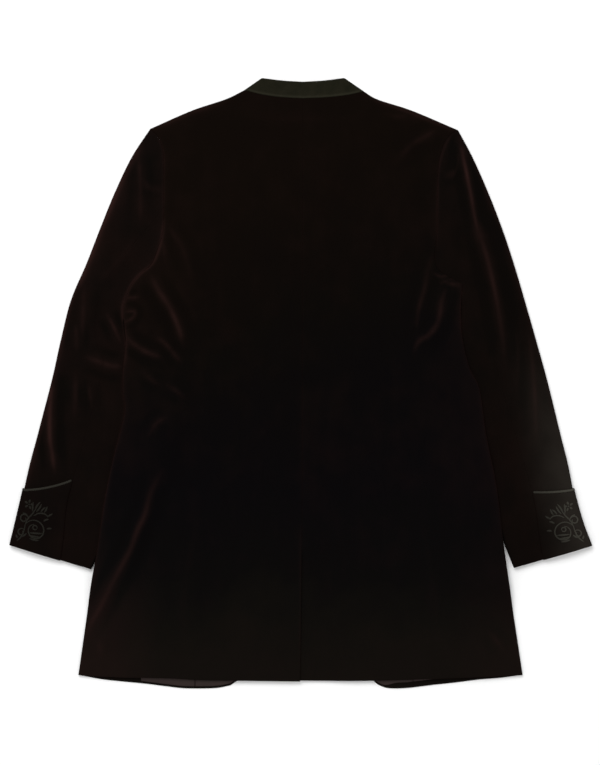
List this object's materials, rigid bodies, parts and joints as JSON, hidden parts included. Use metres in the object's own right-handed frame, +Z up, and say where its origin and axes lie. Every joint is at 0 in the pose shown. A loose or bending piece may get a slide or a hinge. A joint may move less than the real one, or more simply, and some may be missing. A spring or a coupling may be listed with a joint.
{
  "type": "long blazer",
  "caption": "Long velvet coat laid face down and flat, with a stand collar, two-piece sleeves, shaped piped cuffs, a centre-back vent and rounded front corners.",
  "frame": {"origin": "centre of the bounding box's bottom face, on the surface that the coat lies on", "axes": "+X to the wearer's right, +Y from the hem to the collar, +Z up from the surface, out of the coat's back"},
  "size_m": [0.8748, 0.9124, 0.0188],
  "materials": {
    "velvet": "near-black burgundy cotton velvet with a dark red sheen",
    "felt": "dense dark green wool felt",
    "piping": "dark grey-green twisted cord and embroidery thread",
    "satin": "grey-mauve satin lining",
    "button": "polished dark horn look"
  },
  "bodies": {
    "root": {"front_left": "velvet", "front_right": "velvet", "back_left": "velvet", "back_right": "velvet", "upper_sleeve_left": "velvet", "upper_sleeve_right": "velvet", "under_sleeve_left": "velvet", "under_sleeve_right": "velvet", "cuff_left": "velvet", "cuff_right": "velvet", "cuff_piping_left": "piping", "cuff_piping_right": "piping", "collar": "felt", "facing_left": "satin", "facing_right": "satin", "lining_left": "satin", "lining_right": "satin", "button_1": "button", "button_2": "button", "button_3": "button", "button_4": "button"}
  },
  "joints": []
}
